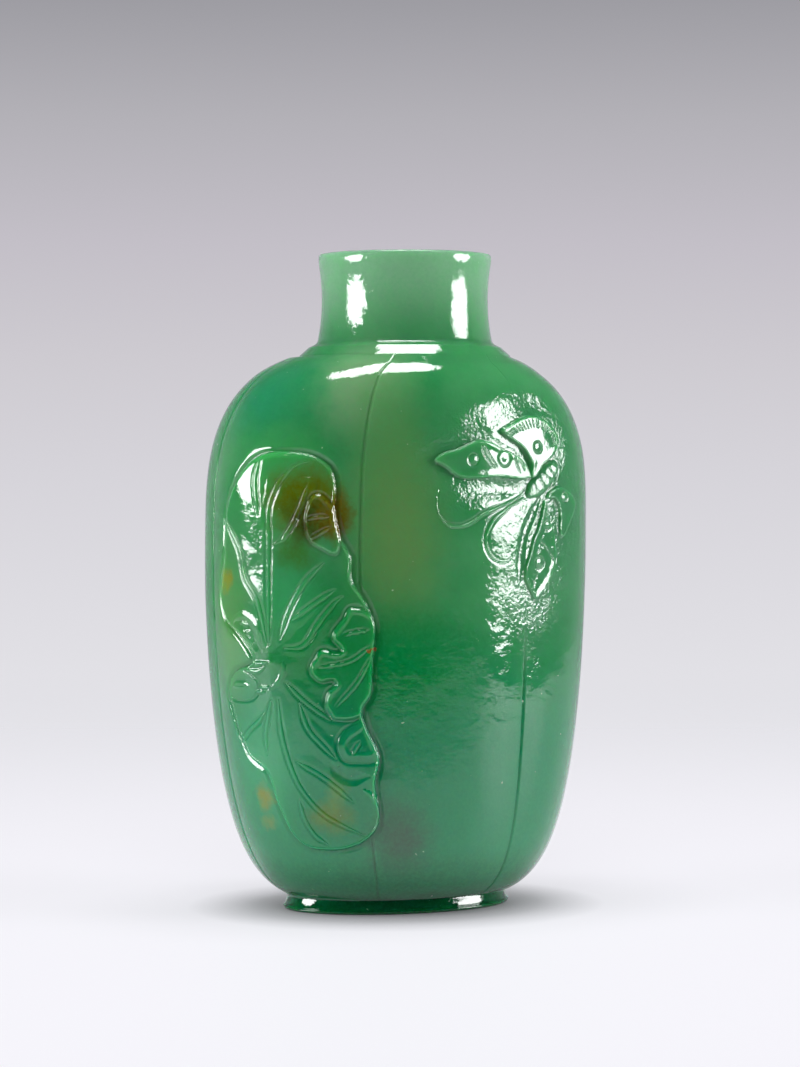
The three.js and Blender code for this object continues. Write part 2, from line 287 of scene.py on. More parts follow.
def depthInside(places, outline, reach=1.5):
    # how far inside the outline each place lies, negative outside it
    depth = np.full(len(places), -reach)
    near = nearIndex(places, outline, reach)
    if len(near) == 0:
        return depth
    spots = places[near]
    distance = measure(spots, outline, closed=True)[0]
    ends = np.roll(outline, -1, axis=0)
    x, y = spots[:, 0, None], spots[:, 1, None]
    crosses = (outline[:, 1] > y) != (ends[:, 1] > y)
    level = ends[:, 1] == outline[:, 1]
    rise = np.where(level, 1e-9, ends[:, 1] - outline[:, 1])  # never nought
    reachX = outline[:, 0] + (y - outline[:, 1]) / rise * (ends[:, 0] - outline[:, 0])
    inside = (crosses & (x < reachX)).sum(1) % 2 == 1
    depth[near] = np.where(inside, distance, -distance)
    return depth


def bead(distance, rise, width):
    # the height of a round-backed line beside its middle
    return rise * np.exp(-((distance / width) ** 2))


def strokeRise(places, line, width, rise, edgeCut=0, edgeWidth=0.11, ends=0.3, taper=0.2):
    # a line in relief, raised or cut by its rise, with a fine cut along both sides if asked,
    # and how far each place lies outside it
    out = np.zeros(len(places))
    outside = np.full(len(places), 9.0)  # far off
    near = nearIndex(places, line, width + 3 * edgeWidth)
    if len(near) == 0:
        return out, outside
    distance, along = measure(places[near], line)
    fade = ends + (1 - ends) * share(np.minimum(along, 1 - along), 0, taper)
    half = width / 2 * fade
    crown = np.clip(1 - (distance / half) ** 2, 0, 1)
    flank = bead(distance - half - edgeWidth / 2, edgeCut, edgeWidth * 0.75)
    out[near] = (rise * crown - flank) * fade
    outside[near] = distance - half
    return out, outside


def mound(places, centre, half):
    return np.exp(-(((places - np.array(centre)) / np.array(half)) ** 2).sum(1))


leaf = {
    "home": (-15, 22.2),  # where the stalk meets the blade
    "rise": 0.3,
    # where the blade stands prouder and where it thins away: place, half sizes, amount
    "thickness": [((7, -9), (5, 5), 0.3), ((-6, -5.5), (3, 4.5), -0.2)],
    "edge": 0.15,
    "rim": (0.02, 0.12),  # height, half width
    "dish": 0.07,
    "dishReach": 0.8,
    "cup": 0.03,  # each field between two veins is a little hollow
    "cupReach": (0.05, 1.0),
    "moat": 0.09,  # share of the thickness cut away round the margin
    "moatAt": 0.12,
    "moatWidth": 0.3,
    "moatReach": 1.4,
    "vein": (0.4, 0.045, 0.06),  # width, height, depth of the cut along each side
    "veinFoot": (0.1, 0.5),  # mm inside the margin over which veins and ridges rise
    "lineInset": 0.3,
    "cover": (-0.5, 0.1),  # mm inside the margin over which the lobes' grooves die away
    "boss": (0.12, 0.9),  # where the veins meet: height, half width
    # the margin as bearing in degrees clockwise from up, and reach: short reaches are notches
    "margin": [
        (-6, 18), (6, 18.2), (14, 17.5), (18, 15.8), (20, 14.2), (26, 12.2), (34, 11.1), (41, 9.6),
        (53, 9.2), (68, 8.8), (90, 7.9), (108, 8.1), (119, 7.9), (127, 9), (134, 11.4), (143, 12.8),
        (150, 15.6), (158, 16.4), (169, 16.3), (180, 15.4), (187, 12), (192, 9.6), (206, 8.8),
        (231, 6.9), (247, 6.2), (260, 4.6), (271, 2.5), (286, 2.5), (302, 4.4), (304, 6.6),
        (312, 8.4), (319, 9), (330, 11), (338, 14), (346, 16.4),
    ],
    "mounds": [  # gentle swellings of the blade: place, half sizes, height
        ((-3.5, 16.6), (4.5, 6), 0.38), ((-2.6, 2.6), (2.4, 2.2), 0.05), ((3.5, 3.5), (3.5, 3), 0.08),
    ],
    "moundFoot": 0.6,  # mm inside the margin over which they rise
    "veins": [
        [(-0.6, 1.7), (-0.5, 10.7), (-0.5, 13.2), (0, 14.9), (0.6, 16), (1.5, 17), (2.7, 17.4)],
        [(-1.4, 12.8), (-1.8, 15.8), (-1.5, 17.7)],
        [(-0.2, 10.2), (0.8, 10.8), (2, 13.2), (2.6, 15.3)],
        [(0.3, 2.1), (0.9, 4), (1.7, 5.7), (2.7, 7.3), (4, 8.7)],
        [(1.4, 3.8), (3.5, 5.4), (4.9, 6.4)],
        [(0.7, 1.4), (2.2, 1.6), (3.3, 3.2), (4.9, 5.3), (5.5, 5.8)],
        [(-0.8, 1.7), (-1.6, 5.5), (-2.8, 7.4), (-3.4, 9.8), (-5.3, 12.7)],
        [(-4.5, -6.9), (-3.4, -5.8), (-2.1, -4.9), (-1.5, -4.2)],
        [(-0.7, -3), (-1.6, -6.1), (-1.6, -7.8)],
        [(-0.1, -3), (0, -6.4), (0.8, -9.9), (1.8, -11.7), (3.2, -13.1), (6.2, -14.6)],
        [(0.8, -11.6), (1, -13.3), (1.7, -14.7), (2.8, -15.5)],
        [(1, -8.3), (3.2, -9.6), (5.6, -11.7)],
        [(1.7, -3.4), (2.3, -5.5), (3.5, -7), (4.4, -8)],
        [(0.7, -1.6), (2.1, -3.1), (4.3, -4.8)],
    ],
    # parts of the blade that turn over and lie on it: outline, height, width of the turned edge
    "folds": [
        ([(6.2, 4.9), (5.6, 4), (4.6, 2.4), (5.3, 1.3), (4.9, 1.1), (3.7, 1.3), (3.1, 0.5), (2.7, -0.3),
          (2.9, -1), (3.6, -1.5), (4.7, -1.5), (4.1, -2.3), (3.8, -3.4), (4.1, -4.1), (4.6, -4.7),
          (6.6, -4.5), (8, -3), (8.6, 0.5), (8.2, 4)], 0.22, 0.3),
        ([(3.3, 14.6), (2.5, 13.1), (2.4, 12.1), (2.8, 10.6), (3.9, 9.8), (5, 9.4), (5.3, 10.6),
          (5, 12), (4.6, 13.6)], 0.18, 0.25),
        ([(-4.9, -0.8), (-3.5, -0.7), (-2.6, -1), (-2, -1.7), (-2.2, -2.6), (-3, -3.1),
          (-4.5, -3.2), (-5.6, -2.8), (-5.8, -1.7)], 0.02, 1.1),
        ([(7.2, -4.3), (6.2, -5), (5.2, -5.7), (4.7, -6.5), (4.7, -7.4), (5.2, -8.2), (6.2, -8.3),
          (7.7, -8.2), (8.3, -7.4), (7.8, -5.8)], 0.08, 0.6),
    ],
    "foldLap": 0.06,
    "foldFoot": (-0.1, 0.3),  # mm inside the margin over which the folds rise
    "foldDish": 0.6,  # share of the blade's dish
    "foldRim": (0.05, 0.16),
    "foldCut": (0.06, 0.12),
    # small turned edges and one trough: points, width, height
    "ridges": [
        ([(-2.6, 0.1), (-1.5, 0), (-0.7, 0.2)], 0.45, 0.1),
        ([(-3.7, -0.3), (-2.7, -0.6), (-1.9, -0.7), (-1.5, -0.5), (-1, -0.1)], 0.5, 0.12),
        ([(-1.8, -2), (-1.2, -2), (-0.7, -2)], 0.4, 0.1),
        ([(-2.3, -2.5), (-1.7, -2.4), (-1.2, -2.4)], 0.4, 0.1),
        ([(0.5, 0.4), (0.5, -0.6), (0, -1.5), (-0.9, -2.2)], 0.6, 0.07),
        ([(-4.5, 3.1), (-4.1, 3.8), (-3.2, 4.1), (-2.5, 3.9), (-2, 3.4), (-1.7, 2.7), (-1.4, 1.7)],
         0.8, 0.05),
        ([(-3.6, 3.5), (-2.9, 3.4), (-2.5, 3.2)], 0.35, 0.06),
        ([(-2.9, 2.6), (-2.4, 2.8)], 0.35, 0.05),
        ([(3.9, -8.3), (4.3, -9), (5.3, -9.6), (7.2, -9.5)], 1.4, -0.09),
        ([(6.5, -10.6), (7.2, -11.1), (7.8, -12.1)], 0.5, 0.14),
    ],
    "ridgeEnds": {"ends": 0.2, "taper": 0.3},
    "foldVein": (0.26, 0.05, 0.06),
    "foldVeins": [
        [(5.6, 2.6), (6.6, 2.8), (7.6, 3)],
        [(3.5, -0.2), (6, 0.3), (7.7, 1.5)],
        [(7.7, 0.5), (6.6, -1.5), (4.8, -3.5)],
        [(2.6, 12.4), (3.5, 12.6), (4.3, 12.6)],
        [(2.9, 10.7), (4.5, 11.7)],
        [(6.5, -6.6), (5.8, -7.7)],
    ],
}


def leafOutline():
    margin = [
        (reach * math.sin(math.radians(bearing)), reach * math.cos(math.radians(bearing)))
        for bearing, reach in leaf["margin"]
    ]
    return smoothLine(margin, closed=True)


def leafRelief(places):
    # the height, how far the lobes' grooves are covered, and the distance to the nearest fine line
    spots = places - np.array(leaf["home"])
    inside = depthInside(spots, leafOutline())
    thick = leaf["rise"]
    for centre, half, amount in leaf["thickness"]:
        thick = thick + amount * mound(spots, centre, half)
    blade = thick * smoothShare(inside, 0, leaf["edge"])
    blade += bead(inside - leaf["edge"], *leaf["rim"])
    blade -= leaf["dish"] * (1 - np.exp(-np.maximum(inside - leaf["edge"], 0) / leaf["dishReach"]))
    for centre, half, rise in leaf["mounds"]:
        blade += rise * mound(spots, centre, half) * smoothShare(inside, 0, leaf["moundFoot"])
    moat = bead(inside + leaf["moatAt"], -leaf["moat"] * thick, leaf["moatWidth"])
    moat *= inside > -leaf["moatReach"]
    lines = inside - leaf["lineInset"]
    inBlade = smoothShare(inside, *leaf["veinFoot"])
    for points in leaf["veins"]:
        rise, outside = strokeRise(spots, smoothLine(points), *leaf["vein"])
        blade += rise * inBlade
        lines = np.minimum(lines, outside)
    blade -= leaf["cup"] * smoothShare(lines, *leaf["cupReach"])
    blade += bead(np.hypot(spots[:, 0], spots[:, 1]), *leaf["boss"])
    cut, cutWidth = leaf["foldCut"]
    for outline, rise, edge in leaf["folds"]:
        inFold = depthInside(spots, smoothLine(outline, closed=True))
        over = smoothShare(inFold, -leaf["foldLap"], edge) * smoothShare(inside, *leaf["foldFoot"])
        rolled = thick + rise - leaf["dish"] * leaf["foldDish"] + bead(inFold - edge, *leaf["foldRim"])
        under = bead(inFold + cutWidth, cut, cutWidth) * (inside > leaf["foldFoot"][1])
        blade = blade * (1 - over) + rolled * over - under
        lines = np.minimum(lines, -inFold)
    for points, width, rise in leaf["ridges"]:
        ridge = strokeRise(spots, smoothLine(points), width, rise, **leaf["ridgeEnds"])[0]
        blade += ridge * inBlade
    for points in leaf["foldVeins"]:
        blade += strokeRise(spots, smoothLine(points), *leaf["foldVein"])[0]
    return np.where(inside > 0, blade, moat), smoothShare(inside, *leaf["cover"]), lines


butterfly = {
    "home": (9, 37.2),  # between the roots of the wings
    "rise": 0.26,
    "edge": (-0.02, 0.14),  # mm inside the outline over which a wing rises
    "dish": 0.03,
    "dishFrom": (0.2, 0.8),
    "upperCut": 0.2,  # round the upper wings the ground is cut away deeper
    "upperReach": 2.3,
    "lowCut": 0.04,
    "lowReach": (-2.6, -0.3),
    "cover": (-8, -0.5),  # as mm inside the wings: the lobes' grooves die away over these
    # shallow hollows left in the ground, and one low swelling: place, half sizes, depth
    "hollows": [((-4, -0.1), (3, 0.9), 0.24), ((1.6, 7.5), (2.8, 1.2), 0.3),
                ((2, -8.4), (4, 4), -0.15)],
    "unevenOuter": (-4, -1.2),  # the polish is uneven from here inwards
    "unevenInner": (-0.1, 0.1),  # and even again on the wings
    "calm": ((-3, -3.9), (2.8, 2.6)),  # the curl of the feeler rings a well polished place
    "calmed": 0.85,
    "lineInset": 0.16,
    "wings": [
        [(-10.7, 2.6), (-8.5, 3.5), (-6.5, 4.2), (-4.9, 4), (-3.9, 3.5), (-2.9, 3.2), (-1.8, 2.7),
         (-1, 1.8), (-0.8, 0.9), (-4.4, 1), (-6.5, 0.9), (-8.5, 1), (-9.7, 1.8)],
        [(-3.7, 5), (-2.7, 5.6), (-1.4, 6.1), (0.1, 6.4), (1.8, 6.1), (2.7, 5.4), (3.2, 4.6),
         (3, 3.7), (2.1, 2.8), (0.9, 2.1), (-0.5, 0.9), (-0.6, 2.2), (-1, 2.9), (-1.6, 3.6),
         (-2.3, 4)],
        [(0.9, -1), (0.2, -3.3), (-0.4, -4.4), (-0.9, -5.9), (-1.3, -7), (-1.2, -8), (-0.5, -9.2),
         (0.1, -9.7), (1.6, -8.3), (2.3, -7), (2.5, -5.7), (2.1, -3.6), (1.7, -2.9), (1, -1)],
        [(1.2, -0.7), (2.3, -1), (2.8, -2.1), (2.9, -4.1), (3.4, -4.3), (4.1, -3.4), (5.1, -1.8),
         (5.1, -1), (4.1, -0.2), (2.8, 0.2)],
    ],
    "fringeLine": [(-3.3, 4.9), (-2.5, 5.3), (-1.3, 5.75), (0.1, 6.05), (1.6, 5.75), (2.4, 5.15),
                   (2.8, 4.5), (2.7, 3.8)],
    "ring": (0.05, 0.1),  # depth, half width
    "pupil": (0.04, 0.2),
    "rings": [  # eye spots on the wings: place, radius
        ((-7.1, 2.5), 0.5), ((-3.8, 2.6), 0.7), ((0.3, 3.6), 0.5), ((1.2, -3.2), 0.4),
        ((0.3, -6.5), 0.5), ((3.4, -0.8), 0.4),
    ],
    "bar": (0.22, -0.06),  # width, height
    "bars": [
        [(-6.2, 3.7), (-5.9, 2.8), (-4.9, 1.8)], [(-5.9, 3.7), (-5.4, 2.8), (-4.6, 1.9)],
        [(-2.6, 2.9), (-2.4, 2.1), (-2, 1.4)], [(-2.2, 2.8), (-1.8, 2.2), (-1.5, 1.6)],
        [(0.4, -4.6), (1.3, -5.4), (2.2, -6.4)],
    ],
    "feeler": (0.4, 0.12, 0.04),  # width, height, depth of the cut along each side
    "feelerTaper": 0.5,
    "feelerInset": 0.06,
    "feelers": [
        [(-0.8, 0.2), (-1.9, -0.7), (-4.4, -1.6), (-6, -2.2), (-7, -2.8), (-8.2, -3.2),
         (-9.4, -3.1), (-10.1, -2.5), (-10.5, -1.6), (-10.4, -0.1)],
        [(-0.1, -0.7), (-1.9, -1), (-3.8, -2), (-5.1, -3), (-5.7, -4.4), (-5.2, -5.7),
         (-4.2, -6.3), (-3.2, -6.3), (-2.5, -5.8)],
    ],
    "trunk": [(-0.7, -0.4), (0.9, 0.7), (2.5, 2.1)],
    "trunkWidth": 1.9,
    "trunkHeight": 0.34,
    "trunkEnds": 0.45,  # width at its ends, as a share
    "segments": 5,
    "segmentDepth": 0.2,
    "fringe": 22,
    "fringeLength": 0.7,
    "fringeTowards": (0.3, 3.2),
    "fringeCut": (0.14, -0.06),
    "underCut": [(0.5, -0.8), (-1.0, -3.2), (-1.6, -4.9), (-1.85, -8.1)],
    "underCutSize": (1.15, -0.16),
}


def butterflyRelief(places):
    # the height, how far the lobes' grooves are covered, the nearest fine line, and how uneven
    spots = places - np.array(butterfly["home"])
    rise = np.zeros(len(spots))
    insides = [
        depthInside(spots, smoothLine(outline, closed=True), -sum(butterfly["cover"]))
        for outline in butterfly["wings"]
    ]
    inWings = np.max(insides, axis=0)
    for inside in insides:
        wing = butterfly["rise"] * smoothShare(inside, *butterfly["edge"])
        wing -= butterfly["dish"] * smoothShare(inside, *butterfly["dishFrom"])
        rise = np.maximum(rise, wing * (inside > butterfly["edge"][0]))
    lines = inWings - butterfly["lineInset"]
    for centre, radius in butterfly["rings"]:
        distance = np.hypot(spots[:, 0] - centre[0], spots[:, 1] - centre[1])
        rise += bead(distance, *butterfly["pupil"]) - bead(distance - radius, *butterfly["ring"])
        lines = np.minimum(lines, distance - radius)

    cuts = [(smoothLine(points), butterfly["bar"]) for points in butterfly["bars"]]
    fringe = smoothLine(butterfly["fringeLine"])
    for i in range(butterfly["fringe"]):
        root = fringe[int((i + 0.5) / butterfly["fringe"] * (len(fringe) - 1))]
        inward = np.array(butterfly["fringeTowards"]) - root
        tip = root + inward / np.hypot(*inward) * butterfly["fringeLength"]
        cuts.append((np.array([root, tip]), butterfly["fringeCut"]))
    for line, size in cuts:
        cut, outside = strokeRise(spots, line, *size)
        rise += cut
        lines = np.minimum(lines, outside)
    rise += strokeRise(spots, smoothLine(butterfly["underCut"]), *butterfly["underCutSize"])[0]

    for points in butterfly["feelers"]:
        feeler, outside = strokeRise(
            spots, smoothLine(points), *butterfly["feeler"], taper=butterfly["feelerTaper"]
        )
        rise += feeler
        lines = np.maximum(lines, -outside - butterfly["feelerInset"])
    distance, along = measure(spots, smoothLine(butterfly["trunk"]))
    ends, dip = butterfly["trunkEnds"], butterfly["segmentDepth"]
    bulge = np.sin(np.pi * np.clip(along, 0, 1)) ** 0.5
    half = butterfly["trunkWidth"] / 2 * (ends + (1 - ends) * bulge)
    crown = np.clip(1 - (distance / half) ** 4, 0, 1)
    waves = 1 - dip + dip * np.abs(np.sin(np.pi * along * butterfly["segments"])) ** 0.4
    trunk = butterfly["trunkHeight"] * crown * waves
    rise = np.where(crown > 0, np.maximum(rise, trunk), rise)

    upper = smoothShare(np.maximum(insides[0], insides[1]), -butterfly["upperReach"], 0)
    lower = smoothShare(inWings, *butterfly["lowReach"])
    cut = np.maximum(butterfly["upperCut"] * upper, butterfly["lowCut"] * lower)
    for centre, half, depth in butterfly["hollows"]:
        cut += depth * mound(spots, centre, half)
    rise -= cut * (inWings < 0)
    uneven = smoothShare(inWings, *butterfly["unevenOuter"])
    uneven *= 1 - smoothShare(inWings, *butterfly["unevenInner"])
    uneven *= 1 - butterfly["calmed"] * mound(spots, *butterfly["calm"])
    return rise, smoothShare(inWings, *butterfly["cover"]), lines, uneven


# Building the mesh: spun, refined where it is carved, then drawn in at the mouth and the foot.
grain = {
    "columns": 32,  # columns in a lobe, three of them close beside each groove
    "grooveColumns": 3,
    "grooveReach": 0.45,
    "footRows": (0, 0.13, 0.3, 0.6, 1),  # shares of the foot's rounded edge
    "footWallRows": 5,
    "rowsBelow": 58,
    "rowsAbove": 34,
    "shoulderShort": 0.2,  # from the highest row of the body up to the collar's foot
    "leafCuts": 4,
    "leafMargin": 0.7,  # mm around the carving, refined with it
    "butterflyCuts": 5,
    "wingMargin": 0.5,
    "lineMargins": (0.6, 0.6, 1.3, 0.9),  # of the two feelers, the trunk and the undercut
    "weld": 0.001,
}


def aroundFromTurn(turn):
    # the spun columns are spread along each lobe, closer together at the grooves
    step = math.tau / (len(grooves) * grain["columns"])
    edge = step * grain["grooveColumns"]
    lobeTurns = np.radians([-150, -90, -30, 30, 90, 150])
    turns = np.concatenate([lobeTurns - edge, lobeTurns, lobeTurns + edge])
    reach = grain["grooveReach"]
    arounds = np.concatenate([grooves - reach, grooves, grooves + reach])
    turns = np.concatenate([[-math.pi], turns, [math.pi]])
    arounds = np.concatenate([[-halfGirth], arounds, [halfGirth]])
    order = np.argsort(turns)
    return np.interp(turn, turns[order], arounds[order])


def outerLevels():
    below = body["frontBelow"][0]
    above = body["frontAbove"][0]
    belly = body["bellyHeight"]
    lowTurn = math.asin((belly - foot["height"] - foot["join"]) / below)
    highTurn = math.asin((body["shoulderTop"] - grain["shoulderShort"] - belly) / above)
    levels = [foot["edge"] * part for part in grain["footRows"]]
    levels += list(np.linspace(foot["edge"], foot["height"], grain["footWallRows"])[1:])
    levels += [belly - below * math.sin(lowTurn * i / grain["rowsBelow"])
               for i in range(grain["rowsBelow"], 0, -1)]
    levels += [belly + above * math.sin(highTurn * i / grain["rowsAbove"])
               for i in range(grain["rowsAbove"] + 1)]
    return levels, turnedOutline()[0]


def outerPoints(around, level, rise, cover):
    turnedLevels, turnedRadii = turnedOutline()
    inset = footInset(level)
    onBody = np.clip(level, foot["height"] + foot["join"], body["shoulderTop"])
    points = bodyPoints(around, onBody, rise, cover)
    footSlack, topSlack = 0.1, 0.005
    onFoot = level < foot["height"] + footSlack
    points[onFoot] = ovalPoints(
        around, foot["halfWidth"] - inset, foot["halfDepth"] - inset, level, 0
    )[onFoot]
    onTop = level > turnedLevels[0] - topSlack
    radius = np.interp(level, turnedLevels, turnedRadii)
    points[onTop] = turnedPoints(around, radius, level)[onTop]
    return points


def placesOf(items):
    spots = np.array([item[:] for item in items])
    return np.stack([aroundFromTurn(np.arctan2(spots[:, 0], -spots[:, 1])), spots[:, 2]], axis=-1)


def refine(bm, inZone, cuts):
    places = placesOf([face.calc_center_median() for face in bm.faces])
    chosen = [face for face, wanted in zip(bm.faces[:], inZone(places)) if wanted]
    edges = list({edge for face in chosen for edge in face.edges})
    bmesh.ops.subdivide_edges(bm, edges=edges, cuts=cuts, use_grid_fill=True)


def nearLeaf(places):
    return depthInside(places - np.array(leaf["home"]), leafOutline()) > -grain["leafMargin"]


def nearButterfly(places):
    spots = places - np.array(butterfly["home"])
    near = np.zeros(len(spots), bool)
    for outline in butterfly["wings"]:
        near |= depthInside(spots, smoothLine(outline, closed=True)) > -grain["wingMargin"]
    lines = butterfly["feelers"] + [butterfly["trunk"], butterfly["underCut"]]
    for line, reach in zip(lines, grain["lineMargins"]):
        near |= measure(spots, smoothLine(line))[0] < reach
    return near


def extrudeRing(bm, ring, placeRing, aroundOf):
    made = bmesh.ops.extrude_edge_only(bm, edges=ring)["geom"]
    verts = [item for item in made if isinstance(item, bmesh.types.BMVert)]
    points = placeRing(np.array([vert[aroundOf] for vert in verts]))
    for vert, point in zip(verts, points):
        vert.co = point
    known = set(verts)
    return [item for item in made if isinstance(item, bmesh.types.BMEdge)
            and known.issuperset(item.verts)]


def cavityRing(level):
    reach = body["bellyHeight"] - cavity["floor"]
    reachUp = cavity["top"] - body["bellyHeight"]
    below, above = ((length, cavity["bend"], cavity["square"]) for length in (reach, reachUp))
    across = quarter(body["halfWidth"] - cavity["wall"], level, below, above)
    deep = quarter(body["halfDepth"] - cavity["wall"], level, below, above)
    return lambda around: ovalPoints(around, across, deep, level, leanAt(level))


def turnedRing(radius, level):
    return lambda around: turnedPoints(around, radius, level)


def innerRings():
    radius, edge = mouth["radius"], mouth["edge"]
    mid = edge * mouth["edgeRound"]
    rings = [turnedRing(*size) for size in (
        (neck["lipRadius"] - lip["round"] - lip["flat"], height),
        (radius + edge + lip["flat"], height),
        (radius + edge, height),
        (radius + mid, height - mid),
        (radius, height - edge),
        (radius, height - mouth["depth"]),
    )]
    belly, top, floor = body["bellyHeight"], cavity["top"], cavity["floor"]
    rows, rowsBelow = cavity["rowsAbove"], cavity["rowsBelow"]
    topShort, floorShort = cavity["short"]
    highTurn = math.asin((top - topShort - belly) / (top - belly))
    lowTurn = math.asin((belly - floor - floorShort) / (belly - floor))
    levels = [belly + (top - belly) * math.sin(highTurn * i / rows) for i in range(rows, 0, -1)]
    levels += [belly - (belly - floor) * math.sin(lowTurn * i / rowsBelow)
               for i in range(rowsBelow + 1)]
    return rings + [cavityRing(level) for level in levels]


def underRings():
    def ring(oval, inset, level):
        return lambda around: ovalPoints(
            around, oval["halfWidth"] - inset, oval["halfDepth"] - inset, level, 0
        )

    depth, corner = recess["depth"], recess["corner"]
    return [ring(foot, foot["edge"] + foot["rim"], 0), ring(recess, -0.25, 0),
            ring(recess, -0.06, 0.02), ring(recess, 0, 0.1), ring(recess, corner, depth - corner),
            ring(recess, 2 * corner, depth), ring(recess, 4 * corner, depth)]


def carvedPoints(places):
    leafRise, leafCover, leafLines = leafRelief(places)
    rise, cover, lines, uneven = butterflyRelief(places)
    around, level = places[:, 0], places[:, 1]
    points = outerPoints(around, level, leafRise + rise, np.maximum(leafCover, cover))
    neckUneven = neck["uneven"] * smoothShare(level, collar["start"], neck["root"])
    return points, np.clip(np.maximum(leafLines, lines), -1, 1), np.maximum(uneven, neckUneven)


def buildBottle():
    bm = bmesh.new()
    levels, topLevels = outerLevels()
    profile = [bm.verts.new((0, -meanRadius, level)) for level in levels + topLevels]
    for low, high in zip(profile, profile[1:]):
        bm.edges.new((low, high))
    bmesh.ops.spin(
        bm, geom=bm.verts[:] + bm.edges[:], cent=(0, 0, 0), axis=(0, 0, 1), angle=math.tau,
        steps=len(grooves) * grain["columns"], use_merge=True,
    )
    bmesh.ops.remove_doubles(bm, verts=bm.verts[:], dist=grain["weld"])
    refine(bm, nearLeaf, grain["leafCuts"])
    refine(bm, nearButterfly, grain["butterflyCuts"])
    print("bottle: spun and refined,", len(bm.faces), "faces")

    places = placesOf([vert.co for vert in bm.verts])
    aroundOf = bm.verts.layers.float.new("around")
    facingOf = bm.verts.layers.float_vector.new("facing")
    linesOf = bm.verts.layers.float.new("lines")
    unevenOf = bm.verts.layers.float.new("uneven")
    points, lines, uneven = carvedPoints(places)
    step = 0.01
    # the crease under the collar faces as the top of the shoulder does
    sampled = places.copy()
    sampled[np.abs(places[:, 1] - collar["start"]) < 1e-4, 1] = levels[-1] - step
    middle = carvedPoints(sampled)[0]
    across = carvedPoints(sampled + np.array([step, 0]))[0] - middle
    up = carvedPoints(sampled + np.array([0, step]))[0] - middle
    facing = np.cross(across, up)
    for i, vert in enumerate(bm.verts):
        vert[aroundOf] = places[i, 0]
        vert[facingOf] = facing[i]
        vert[linesOf] = lines[i]
        vert[unevenOf] = uneven[i]
        vert.co = points[i]
    print("bottle: leaf and butterfly carved")

    for ringLevel, rings in ((height, innerRings()), (0, underRings())):
        ring = [edge for edge in bm.edges if edge.is_boundary
                and all(abs(vert.co.z - ringLevel) < step for vert in edge.verts)]
        for placeRing in rings:
            ring = extrudeRing(bm, ring, placeRing, aroundOf)
        bmesh.ops.holes_fill(bm, edges=ring, sides=0)
    bm.verts.layers.float.remove(aroundOf)
    bmesh.ops.remove_doubles(bm, verts=bm.verts[:], dist=grain["weld"])
    bmesh.ops.recalc_face_normals(bm, faces=bm.faces[:])
    bmesh.ops.scale(bm, vec=(mm, mm, mm), verts=bm.verts[:])
    for face in bm.faces:
        face.smooth = True
    mesh = bpy.data.meshes.new("carvedBottle")
    bm.to_mesh(mesh)
    bm.free()
    # each outer vertex faces as the carved surface does there, and the rings drawn in through the
    # mouth and under the foot keep the direction of the ring that they start from
    facing = [item.vector for item in mesh.attributes["facing"].data]
    mesh.normals_split_custom_set_from_vertices([item.normalized() for item in facing])
    mesh.attributes.remove(mesh.attributes["facing"])
    bottle = addObject("carvedBottle", mesh)
    triangles = sum(len(face.vertices) - 2 for face in mesh.polygons)
    print("bottle: mesh finished,", triangles, "triangles")
    return bottle


bottle = buildBottle()
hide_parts("bottle")
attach(bottle, "root")


# Materials.
def colour(code):
    parts = [int(code[i:i + 2], 16) / 255 for i in (1, 3, 5)]
    return tuple(p / 12.92 if p <= 0.04045 else ((p + 0.055) / 1.055) ** 2.4 for p in parts) + (1,)


def addNode(tree, kind, settings=None, inputs=None):
    # inputs holds plain values, or outputs of other nodes to link
    node = tree.nodes.new("ShaderNode" + kind)
    for name, value in (settings or {}).items():
        setattr(node, name, value)
    for name, value in (inputs or {}).items():
        if isinstance(value, bpy.types.NodeSocket):
            tree.links.new(value, node.inputs[name])
        else:
            node.inputs[name].default_value = value
    return node


def newMaterial(name):
    material = bpy.data.materials.new(name)
    material.use_nodes = True
    material.node_tree.nodes.clear()
    return material, material.node_tree


def noise(tree, coords, size, detail, roughness):
    return addNode(tree, "TexNoise", inputs={
        "Vector": coords, "Scale": 1 / (size * mm), "Detail": detail, "Roughness": roughness,
    })


def ranged(tree, value, start, end, low=0, high=1, soft=True):
    # the stretch from start to end, laid out from low to high
    kind = "SMOOTHSTEP" if soft else "LINEAR"
    return addNode(tree, "MapRange", {"interpolation_type": kind}, {
        "Value": value, "From Min": start, "From Max": end, "To Min": low, "To Max": high,
    }).outputs["Result"]


def worked(tree, operation, *values, kind="Math"):
    return addNode(tree, kind, {"operation": operation}, dict(enumerate(values))).outputs[0]


def blend(tree, under, over, amount):
    return addNode(tree, "Mix", {"data_type": "RGBA"}, {
        "Factor": amount, 6: under, 7: over,
    }).outputs[2]


def partsOf(tree, vector):
    return addNode(tree, "SeparateXYZ", inputs={"Vector": vector}).outputs


def partsFromView(tree, vector):
    # X across and Y away, as the studio is laid out
    turned = addNode(tree, "Mapping", inputs={
        "Vector": vector, "Rotation": (0, 0, -math.radians(view["azimuth"])),
    })
    return partsOf(tree, turned.outputs[0])


